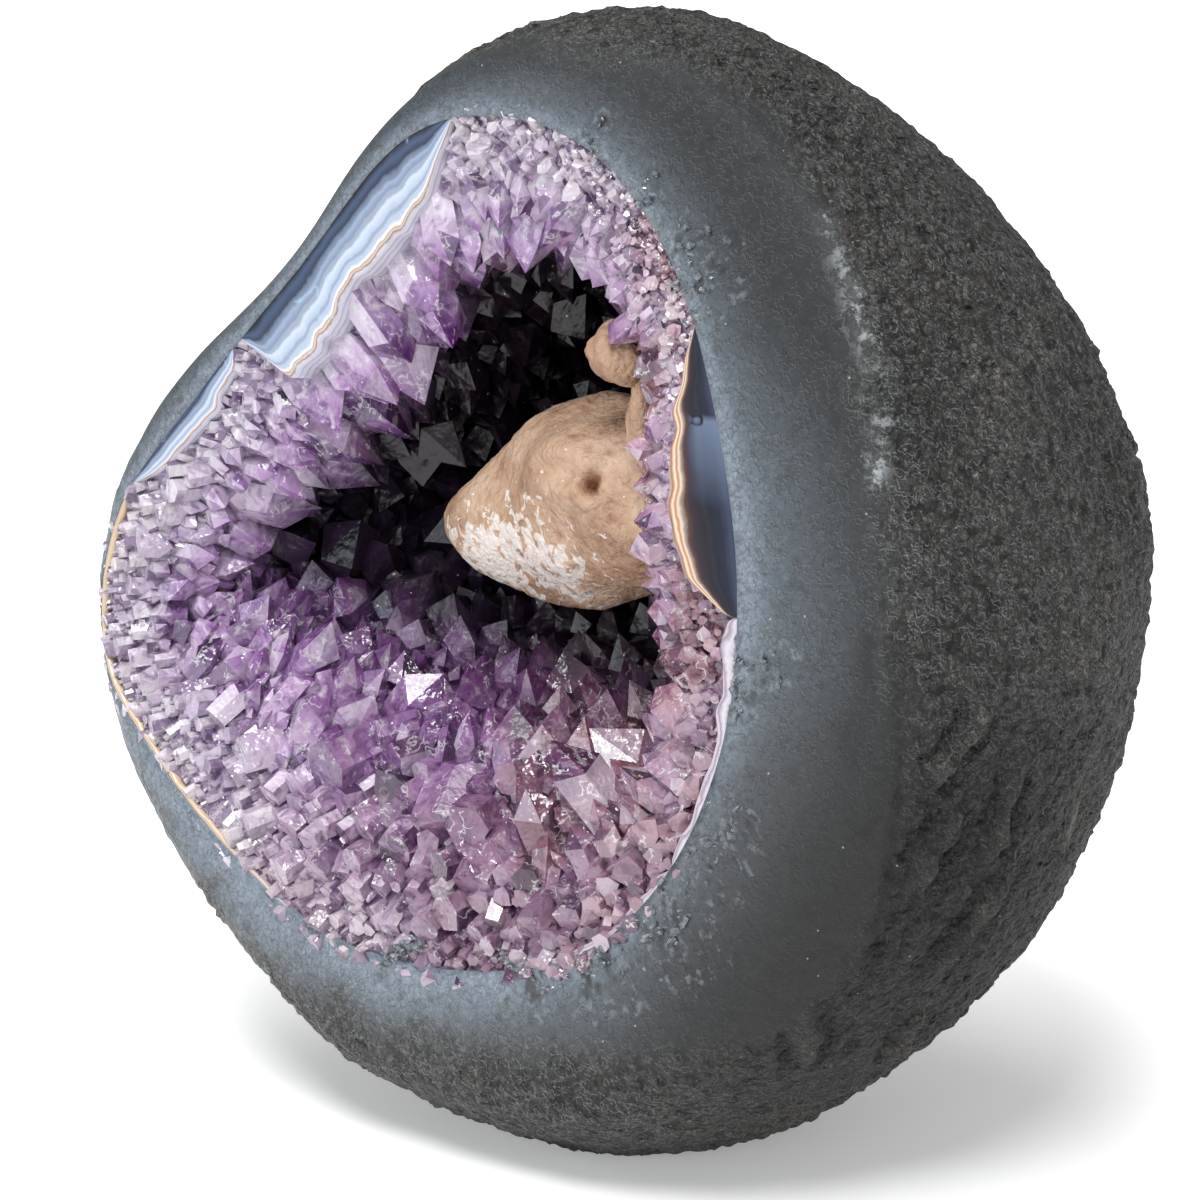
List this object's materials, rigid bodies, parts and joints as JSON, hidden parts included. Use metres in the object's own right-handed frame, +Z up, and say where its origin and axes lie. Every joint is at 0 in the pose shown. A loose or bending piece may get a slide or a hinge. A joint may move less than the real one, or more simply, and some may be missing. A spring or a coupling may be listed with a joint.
{
  "type": "geode half",
  "caption": "Stone nodule sawn open, its deep hollow lined with violet quartz points, with banded agate at the rim and a beige calcite lump inside; stands on a flat underneath.",
  "frame": {"origin": "bottom centre of the geode, on the flat that it stands on", "axes": "+Z up, the hollow opens towards -Y and 8 degrees upwards, +X is to the right for someone who looks into it"},
  "size_m": [0.2396, 0.1516, 0.2371],
  "materials": {
    "stone": "dark grey basalt rind, rough and pitted outside, ground smooth round the opening",
    "amethyst": "clear to milky violet quartz points, pale at the rim and dark inside",
    "agate": "polished grey-blue banded agate",
    "chalcedony": "polished white and lilac chalcedony",
    "calcite": "beige calcite with a white sugary crust"
  },
  "bodies": {
    "root": {"stone_shell": "stone", "amethyst_crust": "amethyst", "agate_upper_left": "agate", "agate_left": "agate", "agate_right": "agate", "agate_lower_right": "chalcedony", "calcite_lump": "calcite", "calcite_knob": "calcite"}
  },
  "joints": []
}
